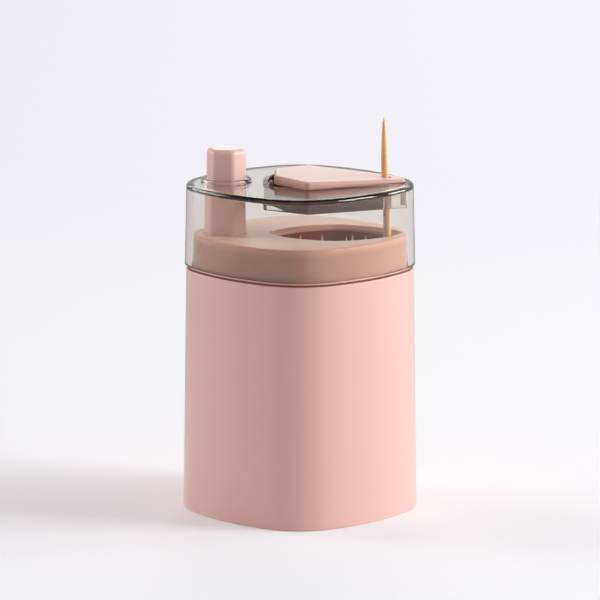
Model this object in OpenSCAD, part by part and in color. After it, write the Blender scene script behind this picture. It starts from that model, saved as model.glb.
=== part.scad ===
// Toothpick dispenser. Pressing the column on the left swings a forked rocker, and the
// rocker's long arms lift one pick out of the hopper on the right.
// Z is up, the press column stands at -X, the pick comes out at +X, and the part rests on Z = 0.

/* [Body] */
// Distance across two opposite faces at the foot
body_across = 60; // [59.6:0.1:60.6]
// Radius of the bowed faces
face_radius = 56.5; // [56:0.5:57.5]
// Radius of the upright corners
corner_radius = 17.5; // [17.2:0.1:17.8]
// Height of the body up to the seam under the lid
body_height = 68.3; // [68.1:0.1:68.5]
// Width at the seam as a share of the width at the foot
body_draft = 0.9664; // [0.964:0.0004:0.968]
// Thickness of the body wall
body_wall = 2; // [1.8:0.1:2]

/* [Lid] */
// Height of the flat top of the lid
lid_top = 92.45; // [92.35:0.05:92.5]
// Half the corner-to-corner width of the lid at its rim
lid_rim_reach = 32.25; // [32.1:0.05:32.4]
// Half the corner-to-corner width of the lid at its top
lid_top_reach = 31.75; // [31.65:0.05:31.8]
// Thickness of the lid wall
lid_wall = 1.8; // [1.6:0.1:1.9]
// Thickness of the lid's top plate
lid_plate = 1.6; // [1.6:0.1:2]
// Height of the lower edge of the well under the flap
well_bottom = 85.7; // [85.5:0.1:86]

/* [Deck] */
// Height of the deck's top face
deck_top = 78; // [77.8:0.1:78.2]
// Half the corner-to-corner width of the deck's top
deck_reach = 29.3; // [29.2:0.05:29.4]
// Centre of the mouth, from the middle of the part
mouth_x = 9.9; // [9.8:0.05:10]
// Half the length of the mouth
mouth_length = 18.6; // [18.4:0.1:18.6]
// Half the width of the mouth
mouth_width = 13.3; // [13.1:0.1:13.5]

/* [Press column] */
// Distance of the column's axis from the middle of the part
column_x = 20.6; // [20.5:0.05:20.7]
// Corner radius of the hexagonal column at the deck
column_reach = 5.5; // [5.4:0.05:5.55]
// Height of the column's top
column_top = 101.7; // [101.5:0.1:102]

/* [Lift] */
// Length of the rocker's short arms
short_arm = 10; // [9.95:0.01:10.05]
// Length of the rocker's long arms
long_arm = 39.2; // [39.1:0.05:39.3]
// Height that one stroke lifts a pick
lift = 34.5; // [34.3:0.1:34.6]
// Distance of the rocker's pivot from the middle of the part
pivot_x = 13; // [12.95:0.01:13.05]
// Height of the rocker's pivot
pivot_z = 26.25; // [26.2:0.01:26.3]

/* [Flap] */
// Height of the flap's top at its hinge
flap_high = 95.3; // [95.1:0.1:95.4]
// Height of the flap's top at its tip
flap_low = 93.6; // [93.5:0.05:93.7]
// Half the width of the flap at its widest
flap_width = 16; // [15.8:0.1:16.2]
// Distance of the flap's tip from the middle of the part
flap_tip = 29.2; // [29.1:0.05:29.3]

/* [Picks] */
// Length of a pick
pick_length = 65; // [64.5:0.1:65]
// Radius of a pick
pick_r = 1; // [0.9:0.02:1]
// Height of the hopper's floor, where the picks stand
floor_z = 11; // [11:0.1:11.1]
// Height of the foot of the raised pick
raised_z = 45.7; // [45.7:0.1:46]

/* [Hidden] */
$fn = 64;

pink = [0.93, 0.74, 0.70];
deck_pink = [0.86, 0.66, 0.60];
smoke = [0.62, 0.60, 0.58, 0.45];
milky = [0.90, 0.88, 0.84];
steel = [0.72, 0.73, 0.75];
wood = [0.86, 0.68, 0.42];

gap = 0.3;                               // clearance between pieces that move past each other
fit = 0.03;                              // clearance round a pin or screw that stays put
run = 0.05;                              // radial clearance of a running fit

half_across = body_across/2;
bow = (face_radius - half_across)*sqrt(1/2);
corner_x = sqrt((face_radius - corner_radius)^2 - bow^2) - bow;
body_reach = corner_x + corner_radius;   // half the corner-to-corner width at the foot
plate_z = 2.5;                           // thickness of the base plate
seam = 0.5;                              // thickness of the deck flange seen under the lid

boss_at = 17.2;                          // base screw bosses, along X and along Y
boss_r = 2.6;
boss_top = 14;
screw_r = 1.25;
head_r = 2.4;
head_h = 1.2;

deck_plate = 2;
deck_wall = 1.6;
mouth_bevel = 1.4;
funnel_low = 50;
funnel_high = 56;
hopper_top = 72;
mouth_power = 1.6;                       // 2 would be an ellipse, 1 a rhombus

groove = 1.25;                           // half the width of the one-pick groove
groove_end = 25.8;
tip_half = 4.6;                          // half the width of the hopper's guide block
tip_x = 27;
lower_outside = [[-7.5, 4], [6, 13.4], [19.6, tip_half], [tip_x, tip_half]];
lower_inside = [[-6.2, 3.2], [6, 11.7], [19.2, 3.1], [20.6, groove], [groove_end, groove]];
hopper_screw_x = [-1.5, 12];

swing = asin(lift/2/long_arm);           // the rocker swings this much each side of level
stroke = 2*short_arm*sin(swing);         // travel of the press column
press_pin_r = 1;
lift_pin_r = 0.8;
lift_play = 0.35;
press_play = 0.12;
press_pin_z = pivot_z + short_arm*sin(swing);
lift_pin_z = pivot_z - long_arm*sin(swing);
near_press_x = -pivot_x - short_arm*cos(swing);
far_press_x = -pivot_x - short_arm;
near_lift_x = -pivot_x + long_arm*cos(swing);
far_lift_x = -pivot_x + long_arm;

hub_r = 3;
hub_half = 19.5;
pivot_r = 1.5;
upright_in = 19.8;
upright_out = 21.8;
lug_in = 3.2;
lug_out = 5.7;
lug_r = 2.2;
arm_in = 6.5;
arm_out = 8.1;
arm_r = 1.7;

stem_r = 3;
spigot_r = 2.5;
stem_top = 66.8;
spigot_top = 74;
tongue_z = [press_pin_z - 3.75, press_pin_z + 3.75];
tongue_x = [-25.6, -18.4];
tongue_half = 2.9;
shelf_z = [44, 47];
bush_flange = 1;
spring_z = [shelf_z[1] + bush_flange, 66];
spring_r = 3.75;
wire_r = 0.35;
spring_turns = 6;
tower_x = [-27.7, -26.1];
tower_half = 7.8;
tower_side = 1.5;

collar_reach = 6.6;
collar_z = [73.4, deck_top - deck_plate - 0.1];
column_taper = 0.965;                    // column's width at its top against its foot
column_round = 1;
column_edge = 0.8;
lid_hole_r = 6;
lid_ring_r = 7.05;
lid_ring_h = 1;
lid_rim = body_height + seam + 0.05;
lid_edge = 1.2;

well_outside = [[-10, 7], [2, 14.9], [30.5, 3.2]];
well_inside = [[-9, 6], [2, 12.9], [29.2, 2]];
flap_left = -6.7;
flap_vertex = 2;
flap_under = lid_top + 0.1;
flap_slot = 1.3;
flap_slot_x = 21.5;
hinge_x = -7.9;
hinge_z = 92.9;
knuckle_r = 1.1;
knuckle_half = 4.4;
ear_y = [4.6, 6];
flap_pin_r = 0.6;

lean = 1.15;                             // the raised pick leans this much towards the middle
raised_x = 24.65;
pick_point = 0.15;                       // radius of a pick's blunted point

// Each pick in the hopper: where its foot stands and where its tip leans to, [x, y, x, y]
pick_places = [
    [0.6, 2, 0.1, 5.2], [4.8, 3.4, 6.6, 7], [10, 0.5, 12.9, 2.2], [12.6, -0.1, 14.7, 9],
    [15.2, -1.7, 18.3, 6.6], [0.2, -3.4, 0.6, -4.4], [2, -0.8, 2.4, -1.4], [1.9, -5.8, 2.8, -6.4],
    [3.9, -2.9, 5, -3.4], [4.4, -7.8, 4.8, -9], [6.2, -5.2, 7.6, -5.4], [6.4, -1.6, 8, -1.4],
    [8.3, -8.1, 9, -8.8], [8.9, -4.2, 10.2, -4], [11, -6.3, 12, -7], [11.6, -2.9, 13.2, -2.6],
    [14, -4.5, 15.6, -4.6]
];

// The body's outline: four corner arcs on the X and Y axes, joined by four bowed faces.
// reach scales the outline by its corner-to-corner width, inset moves it inwards.
function outline(reach, inset = 0) =
    let (k = reach/body_reach,
         big = face_radius*k - inset,
         small = corner_radius*k - inset,
         q = bow*k,
         d = corner_x*k,
         b = atan2(q, d + q))
    [for (turn = [0:90:270]) each concat(
        [for (i = [0:11]) let (a = -b + i*b/6) swing_point([d + small*cos(a), small*sin(a)], turn)],
        [for (i = [0:7]) let (a = b + i*(90 - 2*b)/8) swing_point([-q + big*cos(a), -q + big*sin(a)], turn)])];

function swing_point(p, a) = [p[0]*cos(a) - p[1]*sin(a), p[0]*sin(a) + p[1]*cos(a)];

// A rounded rhombus: the mouth of the deck and the upper part of the hopper
function rhombus(x, length, width) =
    [for (a = [0:5:355]) [x + length*sign(cos(a))*abs(cos(a))^(2/mouth_power),
                          width*sign(sin(a))*abs(sin(a))^(2/mouth_power)]];

// Mirrors a half outline, listed from -X to +X, across the X axis
function mirrored(half) =
    concat(half, [for (i = [len(half) - 1:-1:0]) [half[i][0], -half[i][1]]]);

// Replaces each corner of a closed outline by an arc of radius r
function rounded(points, r, steps = 6) =
    let (n = len(points))
    [for (i = [0:n - 1])
        let (p = points[i],
             u = unit(points[(i + n - 1)%n] - p),
             v = unit(points[(i + 1)%n] - p),
             half = acos(u*v)/2,
             centre = p + unit(u + v)*r/sin(half),
             start = heading(p + u*r/tan(half) - centre),
             end = heading(p + v*r/tan(half) - centre),
             turn = (end - start + 540)%360 - 180)
        for (j = [0:steps]) let (a = start + turn*j/steps) centre + r*[cos(a), sin(a)]];

function unit(v) = v/norm(v);
function heading(v) = atan2(v[1], v[0]);

// Half the corner-to-corner width of the body's outside at height z
function reach_at(z) = body_reach*(1 - (1 - body_draft)*z/body_height);

// A solid through a list of [outline, height], from the lowest up, with as many points in each
module loft(rings) {
    n = len(rings[0][0]);
    top = (len(rings) - 1)*n;
    points = [for (ring = rings, p = ring[0]) [p[0], p[1], ring[1]]];
    walls = [for (i = [0:len(rings) - 2], j = [0:n - 1])
        let (a = i*n + j, b = i*n + (j + 1)%n)
        each [[a, a + n, b + n], [a, b + n, b]]];
    caps = [[for (j = [0:n - 1]) j], [for (j = [n - 1:-1:0]) top + j]];
    polyhedron(points, concat(caps, walls));
}

// A solid through a list of [reach, height], with the body's outline moved inwards by inset
module stack(levels, inset = 0)
    loft([for (level = levels) [outline(level[0], inset), level[1]]]);

// A prism between two heights
module prism(points, z_low, z_high)
    translate([0, 0, z_low])
        linear_extrude(z_high - z_low)
            polygon(points);

// A block given by its lowest and highest corners
module block(low, high)
    translate(low)
        cube(high - low);

// A rod along Y
module rod_y(r, y_low, y_high)
    translate([0, y_low, 0])
        rotate([-90, 0, 0])
            cylinder(r = r, h = y_high - y_low);

// Both a shape and its mirror image across the XZ plane
module both_sides() {
    children();
    mirror([0, 1, 0]) children();
}

// A countersunk screw with its head at z = 0, pointing up
module countersunk_screw(length)
    difference() {
        union() {
            cylinder(r1 = head_r, r2 = screw_r, h = head_h);
            cylinder(r = screw_r, h = length);
        }
        cross_recess(0);
    }

// A pan-head screw with its head's seat at z = 0, pointing down
module pan_screw(length)
    difference() {
        union() {
            cylinder(r = 2.2, h = 1.5);
            translate([0, 0, -length]) cylinder(r = screw_r, h = length);
        }
        cross_recess(1.5);
    }

module cross_recess(z)
    for (a = [0, 90])
        rotate([0, 0, a])
            block([-1.3, -0.25, z - 0.6], [1.3, 0.25, z + 0.6]);

module base_screw_places()
    for (x = [-boss_at, boss_at], y = [-boss_at, boss_at])
        translate([x, y, 0]) children();

module chassis_screw_places() {
    for (y = [-12, 12])
        translate([-11.8, y, 0]) children();
    translate([-column_x, 0, 0]) children();
}

module outer_body()
    color(pink)
        difference() {
            union() {
                difference() {
                    stack([[body_reach, 0], [reach_at(body_height), body_height]]);
                    stack([[reach_at(-1), -1], [reach_at(body_height + 1), body_height + 1]], body_wall);
                }
                base_screw_places()
                    translate([0, 0, plate_z]) cylinder(r = boss_r, h = boss_top - plate_z);
                for (a = [45:90:315])
                    rotate([0, 0, a])
                        block([boss_at*sqrt(2) + 1, -0.8, plate_z],
                              [half_across - 1.2, 0.8, boss_top - 1]);
            }
            base_screw_places()
                cylinder(r = screw_r + fit, h = boss_top - 1);
        }

module base_plate()
    color(pink)
        difference() {
            stack([[body_reach, 0], [reach_at(plate_z), plate_z]], body_wall + 0.2);
            base_screw_places() screw_sink();
            for (x = hopper_screw_x)
                translate([x, 0, 0]) screw_sink();
            chassis_screw_places()
                translate([0, 0, 0.8]) cylinder(r = screw_r + fit, h = plate_z);
        }

module screw_sink() {
    translate([0, 0, -0.01])
        cylinder(r1 = head_r + fit, r2 = screw_r + fit, h = head_h + 0.01);
    cylinder(r = screw_r + fit, h = plate_z + 1);
}

module base_screws()
    color(steel)
        base_screw_places() countersunk_screw(boss_top - 3);

module deck()
    color(deck_pink)
        difference() {
            union() {
                difference() {
                    deck_outside();
                    stack([[deck_reach, 61], [deck_reach, deck_top - deck_plate]], deck_wall);
                }
                prism(rhombus(mouth_x - 0.3, mouth_length - 0.1, mouth_width + 0.5),
                      hopper_top, deck_top - deck_plate + 0.5);
            }
            loft([[mouth_inside(), hopper_top - 1],
                  [mouth_inside(), deck_top - mouth_bevel],
                  [rhombus(mouth_x, mouth_length, mouth_width), deck_top + 0.01]]);
            translate([-column_x, 0, 0])
                prism(hexagon(column_reach + gap), deck_top - deck_plate - 1, deck_top + 1);
        }

// The skirt that sits in the body, the flange on the body's rim and the raised part above
module deck_outside() {
    low = reach_at(62) - 0.2;
    flange = reach_at(body_height) - 0.4;
    stack([[low, 62], [low, body_height + 0.1]], body_wall);
    stack([[flange, body_height], [flange, body_height + seam]]);
    stack([[deck_reach + 0.3, body_height + 0.2], [deck_reach, deck_top - 0.8],
           [deck_reach - 0.25, deck_top - 0.3], [deck_reach - 0.8, deck_top]]);
}

function mouth_inside() = rhombus(mouth_x - 0.3, mouth_length - 1.6, mouth_width - 1);

function hexagon(reach) = rounded([for (a = [0:60:300]) reach*[cos(a), sin(a)]], column_round, 4);

module hopper()
    color(milky)
        difference() {
            union() {
                difference() {
                    hopper_outside();
                    hopper_inside();
                    prism(rounded(mirrored(lower_inside), 0.6, 2), 0, floor_z - 1.6);
                }
                for (x = hopper_screw_x)
                    translate([x, 0, plate_z]) cylinder(r = 2.8, h = floor_z - plate_z - 0.5);
            }
            for (x = hopper_screw_x)
                translate([x, 0, 0]) cylinder(r = screw_r + fit, h = floor_z - 1.5);
            block([22.6, -groove, floor_z - 3], [groove_end, groove, floor_z + 1]);
            block([groove_end - 1, -1.1, plate_z - 1], [tip_x + 1, 1.1, funnel_low]);
        }

module hopper_outside() {
    prism(mirrored(lower_outside), plate_z, funnel_low);
    hull() {
        prism(mirrored(lower_outside), funnel_low - 0.5, funnel_low);
        prism(upper_outside(), funnel_high, funnel_high + 0.5);
    }
    prism(upper_outside(), funnel_high, hopper_top);
}

module hopper_inside() {
    prism(mirrored(lower_inside), floor_z, funnel_low + 0.5);
    hull() {
        prism(mirrored(lower_inside), funnel_low, funnel_low + 0.5);
        prism(upper_inside(), funnel_high, funnel_high + 0.5);
    }
    prism(upper_inside(), funnel_high, hopper_top + 1);
}

function upper_outside() = rhombus(mouth_x - 0.5, mouth_length - 1, mouth_width - 0.1);
function upper_inside() = rhombus(mouth_x - 0.5, mouth_length - 2.4, mouth_width - 1.3);

module hopper_screws()
    color(steel)
        for (x = hopper_screw_x)
            translate([x, 0, 0]) countersunk_screw(floor_z - 2.5);

module chassis()
    color(milky)
        difference() {
            union() {
                block([-14.3, -upright_out, plate_z], [-9.3, upright_out, plate_z + 2.5]);
                block([tower_x[0], -tower_half, plate_z], [-14, tower_half, plate_z + 2.5]);
                both_sides() {
                    block([-pivot_x - 2.8, upright_in, plate_z], [-pivot_x + 2.8, upright_out, pivot_z]);
                    translate([-pivot_x, 0, pivot_z]) rod_y(2.8, upright_in, upright_out);
                    block([tower_x[0], tower_half - tower_side, plate_z], [-21, tower_half, shelf_z[1]]);
                }
                block([tower_x[0], -tower_half, plate_z], [tower_x[1], tower_half, shelf_z[1]]);
                block([tower_x[0], -tower_half, shelf_z[0]], [-14.8, tower_half, shelf_z[1]]);
            }
            chassis_screw_places()
                cylinder(r = screw_r + 0.15, h = 10);
            translate([-column_x, 0, shelf_z[0] - 1])
                cylinder(r = 4.2 + fit, h = 5);
            translate([-pivot_x, 0, pivot_z])
                rod_y(pivot_r + fit, -upright_out - 1, upright_out + 1);
        }

module chassis_screws()
    color(steel)
        chassis_screw_places()
            translate([0, 0, plate_z + 2.5]) pan_screw(4);

module guide_bush()
    color(steel)
        translate([-column_x, 0, 0])
            difference() {
                union() {
                    translate([0, 0, shelf_z[0] - 0.5]) cylinder(r = 4.2, h = 4);
                    translate([0, 0, shelf_z[1]]) cylinder(r = 5.2, h = bush_flange);
                }
                cylinder(r = stem_r + run, h = 60);
            }

module return_spring()
    color(steel)
        translate([-column_x, 0, 0])
            coil(spring_r, wire_r, spring_z[0], spring_z[1], spring_turns);

// A helical wire whose two end turns lie flat
module coil(r, wire, z_low, z_high, turns) {
    sides = 8;
    per_turn = 20;
    rings = turns*per_turn;
    function height(i) =
        let (t = i/per_turn, pitch = (z_high - z_low - 6*wire)/(turns - 2))
        t < 1 ? z_low + wire + 2*wire*t
        : t > turns - 1 ? z_high - wire - 2*wire*(turns - t)
        : z_low + 3*wire + pitch*(t - 1);
    points = [for (i = [0:rings], j = [0:sides - 1])
        let (a = i*360/per_turn, b = j*360/sides, d = r + wire*cos(b))
        [d*cos(a), d*sin(a), height(i) + wire*sin(b)]];
    walls = [for (i = [0:rings - 1], j = [0:sides - 1])
        let (k = (j + 1)%sides)
        [i*sides + j, i*sides + k, (i + 1)*sides + k, (i + 1)*sides + j]];
    caps = [[for (j = [sides - 1:-1:0]) j], [for (j = [0:sides - 1]) rings*sides + j]];
    polyhedron(points, concat(walls, caps));
}

module spring_seat()
    color(steel)
        translate([-column_x, 0, spring_z[1]])
            difference() {
                cylinder(r = 4.8, h = stem_top - spring_z[1]);
                translate([0, 0, -1]) cylinder(r = stem_r + run, h = 3);
            }

module press_button()
    color(pink)
        translate([-column_x, 0, 0])
            difference() {
                union() {
                    loft([for (level = [[1, stem_top], [column_taper, column_top - column_edge],
                                        [column_taper - 0.04, column_top - column_edge*0.3],
                                        [column_taper - 0.15, column_top]])
                          [hexagon(column_reach)*level[0], level[1]]]);
                    prism(hexagon(collar_reach), collar_z[0], collar_z[1]);
                }
                translate([0, 0, stem_top - 1]) cylinder(r = spigot_r + fit, h = spigot_top - stem_top + 1.2);
                translate([0, 0, 70]) rod_y(0.8 + fit, -8, 8);
            }

module press_stem()
    color(milky)
        difference() {
            union() {
                translate([-column_x, 0, tongue_z[1] - 0.5])
                    cylinder(r = stem_r, h = stem_top - tongue_z[1] + 0.5);
                translate([-column_x, 0, stem_top - 0.5])
                    cylinder(r = spigot_r, h = spigot_top - stem_top + 0.5);
                block([tongue_x[0], -tongue_half, tongue_z[0]], [tongue_x[1], tongue_half, tongue_z[1]]);
            }
            slot_y(far_press_x, near_press_x, press_pin_z, press_pin_r + press_play, 8);
            translate([-column_x, 0, 70]) rod_y(0.8 + fit, -8, 8);
        }

// A slot through Y with round ends at x_low and x_high
module slot_y(x_low, x_high, z, r, half) {
    for (x = [x_low, x_high])
        translate([x, 0, z]) rod_y(r, -half, half);
    block([x_low, -half, z - r], [x_high, half, z + r]);
}

module stem_pin()
    color(steel)
        translate([-column_x, 0, 70]) rod_y(0.8, -4.3, 4.3);

module pivot_pin()
    color(steel)
        translate([-pivot_x, 0, pivot_z]) rod_y(pivot_r, -upright_out - 0.9, upright_out + 0.9);

module pivot_clips()
    color(steel)
        both_sides()
            translate([-pivot_x, 0, pivot_z])
                difference() {
                    rod_y(2.5, upright_out + 0.05, upright_out + 0.65);
                    rod_y(pivot_r + fit, upright_out - 1, upright_out + 2);
                }

module rocker()
    color(milky)
        translate([-pivot_x, 0, pivot_z])
            rotate([0, swing, 0])
                difference() {
                    union() {
                        rod_y(hub_r, -hub_half, hub_half);
                        both_sides() {
                            block([-short_arm, lug_in, -lug_r], [0, lug_out, lug_r]);
                            translate([-short_arm, 0, 0]) rod_y(lug_r, lug_in, lug_out);
                            arm_plan(arm_r);
                            intersection() {
                                arm_plan(hub_r - 0.4);
                                block([-5, 0, -5], [15, 30, 5]);
                            }
                            translate([long_arm, 0, 0]) rod_y(arm_r, arm_in, arm_out);
                        }
                    }
                    rod_y(pivot_r + run, -hub_half - 1, hub_half + 1);
                    translate([-short_arm, 0, 0]) rod_y(press_pin_r + fit, -8, 8);
                    translate([long_arm, 0, 0]) rod_y(lift_pin_r + fit, -10, 10);
                }

// A long arm, which runs beside the hopper and closes in on its tip
module arm_plan(half_height)
    prism([[0, 14.6], [21, 14.6], [35.5, arm_in], [long_arm, arm_in],
           [long_arm, arm_out], [36, arm_out], [21.6, 16.8], [0, 16.8]],
          -half_height, half_height);

module press_pin()
    color(steel)
        translate([near_press_x, 0, press_pin_z]) rod_y(press_pin_r, -lug_out, lug_out);

module lift_pins()
    color(steel)
        both_sides()
            translate([near_lift_x, 0, lift_pin_z]) rod_y(lift_pin_r, tip_half + gap + 0.05, arm_out);

module lifter() {
    cheek = [tip_half + gap, tip_half + gap + 1.2];
    web = [tip_x + gap, tip_x + 1.5];
    color(milky)
        difference() {
            union() {
                block([web[0], -cheek[1], floor_z - 5.5], [web[1], cheek[1], floor_z + 3.5]);
                both_sides()
                    block([19.6, cheek[0], floor_z - 5], [web[1] - 0.2, cheek[1], floor_z + 1.5]);
                block([23, -0.9, floor_z - 2.4], [web[0] + 0.1, 0.9, floor_z]);
            }
            slot_y(near_lift_x, far_lift_x, lift_pin_z, lift_pin_r + lift_play, 8);
        }
}

// One pick, pointed at both ends, with its lower point at the origin
module pick()
    rotate_extrude($fn = 24)
        polygon([[0, 0], [pick_point, 0], [pick_r*0.8, 3.5], [pick_r, 6], [pick_r, pick_length - 12],
                 [pick_r*0.7, pick_length - 5], [pick_point, pick_length], [0, pick_length]]);

module picks()
    color(wood)
        for (p = pick_places)
            let (dx = p[2] - p[0], dy = p[3] - p[1])
                translate([p[0], p[1], floor_z + 0.1])
                    rotate([0, asin(norm([dx, dy])/pick_length), atan2(dy, dx)]) pick();

module raised_pick()
    color(wood)
        translate([raised_x, 0, raised_z])
            rotate([0, -lean, 0]) pick();

module lid()
    color(smoke)
        difference() {
            union() {
                difference() {
                    lid_outside();
                    stack([[lid_rim_reach, lid_rim - 0.01], [lid_top_reach, lid_top - lid_plate]],
                          lid_wall);
                }
                intersection() {
                    prism(rounded(mirrored(well_outside), 1.5), well_bottom, lid_top - 0.5);
                    stack([[lid_rim_reach, lid_rim], [lid_top_reach, lid_top]], 0.5);
                }
                translate([-column_x, 0, lid_top - lid_plate])
                    cylinder(r = lid_ring_r, h = lid_plate + lid_ring_h);
            }
            difference() {
                prism(rounded(mirrored(well_inside), 1), well_bottom - 1, lid_top + 1);
                both_sides() hinge_ear();
            }
            translate([-column_x, 0, lid_top - lid_plate - 1]) cylinder(r = lid_hole_r, h = lid_plate + 3);
            translate([hinge_x, 0, hinge_z]) rod_y(flap_pin_r + fit, -ear_y[1] - 0.2, ear_y[1] + 0.2);
        }

module lid_outside() {
    stack([[lid_rim_reach, lid_rim], [lid_top_reach, lid_top - lid_edge],
           [lid_top_reach - 0.3*lid_edge, lid_top - 0.3*lid_edge],
           [lid_top_reach - lid_edge, lid_top]]);
    both_sides() hinge_ear();
}

module hinge_ear() {
    translate([hinge_x, 0, hinge_z]) rod_y(knuckle_r, ear_y[0], ear_y[1]);
    block([-9.2, ear_y[0], 90], [hinge_x + knuckle_r, ear_y[1], hinge_z]);
}

module flap()
    color(pink)
        difference() {
            union() {
                intersection() {
                    prism(rounded(mirrored([[flap_left, 6.2], [flap_vertex, flap_width],
                                            [flap_tip, 2.8]]), 1.8),
                          flap_under, flap_high + 1);
                    flap_wedge();
                }
                translate([hinge_x, 0, hinge_z]) rod_y(knuckle_r, -knuckle_half, knuckle_half);
                block([hinge_x, -knuckle_half, hinge_z - 0.5], [flap_left + 1, knuckle_half, hinge_z + 1]);
            }
            translate([hinge_x, 0, hinge_z]) rod_y(flap_pin_r + run, -8, 8);
            block([flap_slot_x, -flap_slot, flap_under - 1], [flap_tip + 2, flap_slot, flap_high + 1]);
        }

// Everything under the flap's sloping top
module flap_wedge()
    translate([0, -20, 0])
        rotate([-90, 0, 0])
            linear_extrude(40)
                polygon([[flap_left - 1, -80], [flap_left - 1, -flap_high], [flap_left, -flap_high],
                         [flap_tip, -flap_low], [flap_tip + 1, -flap_low], [flap_tip + 1, -80]]);

module flap_pin()
    color(steel)
        translate([hinge_x, 0, hinge_z]) rod_y(flap_pin_r, -ear_y[1] - 0.1, ear_y[1] + 0.1);

outer_body();
base_plate();
base_screws();
deck();
hopper();
hopper_screws();
chassis();
chassis_screws();
guide_bush();
return_spring();
spring_seat();
press_button();
press_stem();
stem_pin();
pivot_pin();
pivot_clips();
rocker();
press_pin();
lift_pins();
lifter();
picks();
raised_pick();
lid();
flap();
flap_pin();
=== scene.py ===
import math

import bmesh
import bpy
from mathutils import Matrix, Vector
from mathutils.geometry import tessellate_polygon


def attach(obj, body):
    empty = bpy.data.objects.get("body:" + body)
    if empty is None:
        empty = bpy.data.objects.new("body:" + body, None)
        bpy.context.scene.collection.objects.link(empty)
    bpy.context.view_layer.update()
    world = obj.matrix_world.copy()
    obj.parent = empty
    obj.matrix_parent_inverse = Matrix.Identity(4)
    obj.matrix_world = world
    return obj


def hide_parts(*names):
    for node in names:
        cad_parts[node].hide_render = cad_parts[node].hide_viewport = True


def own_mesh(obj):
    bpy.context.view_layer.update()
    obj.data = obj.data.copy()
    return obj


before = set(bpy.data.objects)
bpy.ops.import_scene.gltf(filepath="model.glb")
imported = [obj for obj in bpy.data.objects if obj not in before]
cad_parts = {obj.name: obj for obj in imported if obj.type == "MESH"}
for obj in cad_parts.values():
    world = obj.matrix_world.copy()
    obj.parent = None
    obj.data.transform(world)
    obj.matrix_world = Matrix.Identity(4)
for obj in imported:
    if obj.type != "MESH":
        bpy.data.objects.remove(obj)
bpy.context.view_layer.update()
mm = 0.001
print("frame loaded:", len(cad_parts), "nodes")


# outlines, all in millimetres

# the press column's axis and its turn about it in degrees, which its holes and its spring share
columnX = -20.6
columnTurn = -8.0

bodyShape = {
    "halfAcross": 30.0,      # middle to a bowed face, at the foot
    "faceRadius": 56.5,
    "cornerRadius": 17.5,
    "height": 68.3,
    "draft": 0.0336,         # share of the width lost from foot to seam
    "wall": 2.0,
    "footRound": 0.55,
    "rimRound": 0.35,
    "rimInside": 0.25,       # rounding of the rim's inner edge
    "cornerSteps": 26,
    "faceSteps": 18,
}

bow = (bodyShape["faceRadius"] - bodyShape["halfAcross"]) * math.sqrt(0.5)
cornerX = math.sqrt((bodyShape["faceRadius"] - bodyShape["cornerRadius"]) ** 2 - bow ** 2) - bow
bodyReach = cornerX + bodyShape["cornerRadius"]


def bodyOutline(reach, inset=0.0):
    # four corner arcs on the X and Y axes, joined by four bowed faces
    k = reach / bodyReach
    big = bodyShape["faceRadius"] * k - inset
    small = bodyShape["cornerRadius"] * k - inset
    q = bow * k
    d = cornerX * k
    b = math.atan2(q, d + q)
    cornerSteps = bodyShape["cornerSteps"]
    faceSteps = bodyShape["faceSteps"]
    quarter = []
    for i in range(cornerSteps):
        a = -b + 2 * b * i / cornerSteps
        quarter.append((d + small * math.cos(a), small * math.sin(a)))
    for i in range(faceSteps):
        a = b + (math.pi / 2 - 2 * b) * i / faceSteps
        quarter.append((-q + big * math.cos(a), -q + big * math.sin(a)))
    loop = list(quarter)
    for turn in range(3):
        quarter = [(-y, x) for x, y in quarter]
        loop += quarter
    return loop


def bodyReachAt(z):
    return bodyReach * (1 - bodyShape["draft"] * z / bodyShape["height"])


def roundedPath(corners, steps=6, closed=True, hold=0.0):
    # corners are (x, y, radius); hold adds a point this far beyond each end of an arc
    count = len(corners)
    path = []
    for i in range(count):
        here = Vector(corners[i][:2])
        radius = corners[i][2]
        if radius <= 0 or (not closed and i in (0, count - 1)):
            path.append((here.x, here.y))
            continue
        back = (Vector(corners[i - 1][:2]) - here).normalized()
        on = (Vector(corners[(i + 1) % count][:2]) - here).normalized()
        half = math.acos(max(-1, min(1, back.dot(on)))) / 2
        along = radius / math.tan(half)
        middle = here + (back + on).normalized() * radius / math.sin(half)
        first = here + back * along - middle
        last = here + on * along - middle
        start = math.atan2(first.y, first.x)
        turn = (math.atan2(last.y, last.x) - start + 3 * math.pi) % (2 * math.pi) - math.pi
        if hold:
            path.append(tuple(here + back * (along + hold)))
        for j in range(steps + 1):
            a = start + turn * j / steps
            path.append((middle.x + radius * math.cos(a), middle.y + radius * math.sin(a)))
        if hold:
            path.append(tuple(here + on * (along + hold)))
    return path


def mirroredLoop(half, radius):
    # half is listed from -X to +X at +Y, and the loop is turned anticlockwise
    corners = [(x, -y, radius) for x, y in half] + [(x, y, radius) for x, y in reversed(half)]
    return roundedPath(corners, steps=8)


def rhombus(middle, length, width, steps):
    # a rounded rhombus; a power of 2 would give an ellipse, and 1 straight sides
    power = 1.6
    loop = []
    for i in range(steps):
        c = math.cos(2 * math.pi * i / steps)
        s = math.sin(2 * math.pi * i / steps)
        loop.append((middle + length * math.copysign(abs(c) ** (2 / power), c),
                     width * math.copysign(abs(s) ** (2 / power), s)))
    return loop


def circle(radius, x=0.0, y=0.0, steps=72):
    return [(x + radius * math.cos(2 * math.pi * i / steps),
             y + radius * math.sin(2 * math.pi * i / steps)) for i in range(steps)]


def hexagon(reach, x, radius, turn):
    corners = []
    for i in range(6):
        a = math.radians(60 * i + turn)
        corners.append((reach * math.cos(a), reach * math.sin(a), radius))
    return [(x + px, py) for px, py in roundedPath(corners, steps=8)]


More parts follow.
